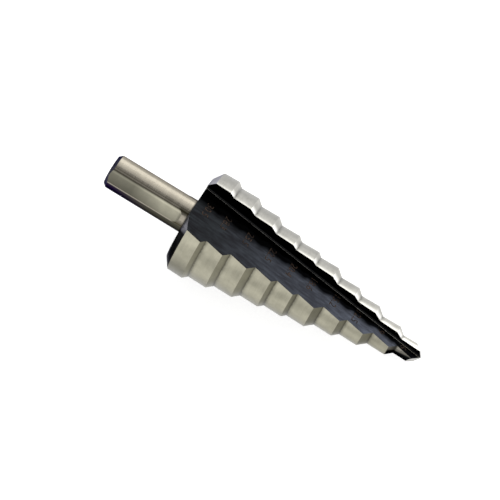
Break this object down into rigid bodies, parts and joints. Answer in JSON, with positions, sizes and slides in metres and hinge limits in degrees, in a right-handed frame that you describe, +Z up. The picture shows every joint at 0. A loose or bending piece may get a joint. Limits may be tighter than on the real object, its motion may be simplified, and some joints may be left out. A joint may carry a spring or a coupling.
{
  "type": "step drill",
  "caption": "Conical stepped cutting bit with two straight flutes, a split point and a round shank with flats, for opening holes in sheet to stepped sizes.",
  "frame": {"origin": "on the surface that the drill lies on, under the middle of its box; it lies on three corners beside its lower flute, as it comes to rest", "axes": "+X along the drill from its shank towards its tip as seen from above, with the axis sloping 7.6 degrees down towards the tip; +Z up, away from the surface; +Y to the side of the upper flute's cutting face"},
  "size_m": [0.0974, 0.0302, 0.0263],
  "materials": {
    "tool_steel": "ground high speed steel on the steps and the shank, black oxide in the flutes"
  },
  "bodies": {
    "root": {"step_drill": "tool_steel"}
  },
  "joints": []
}
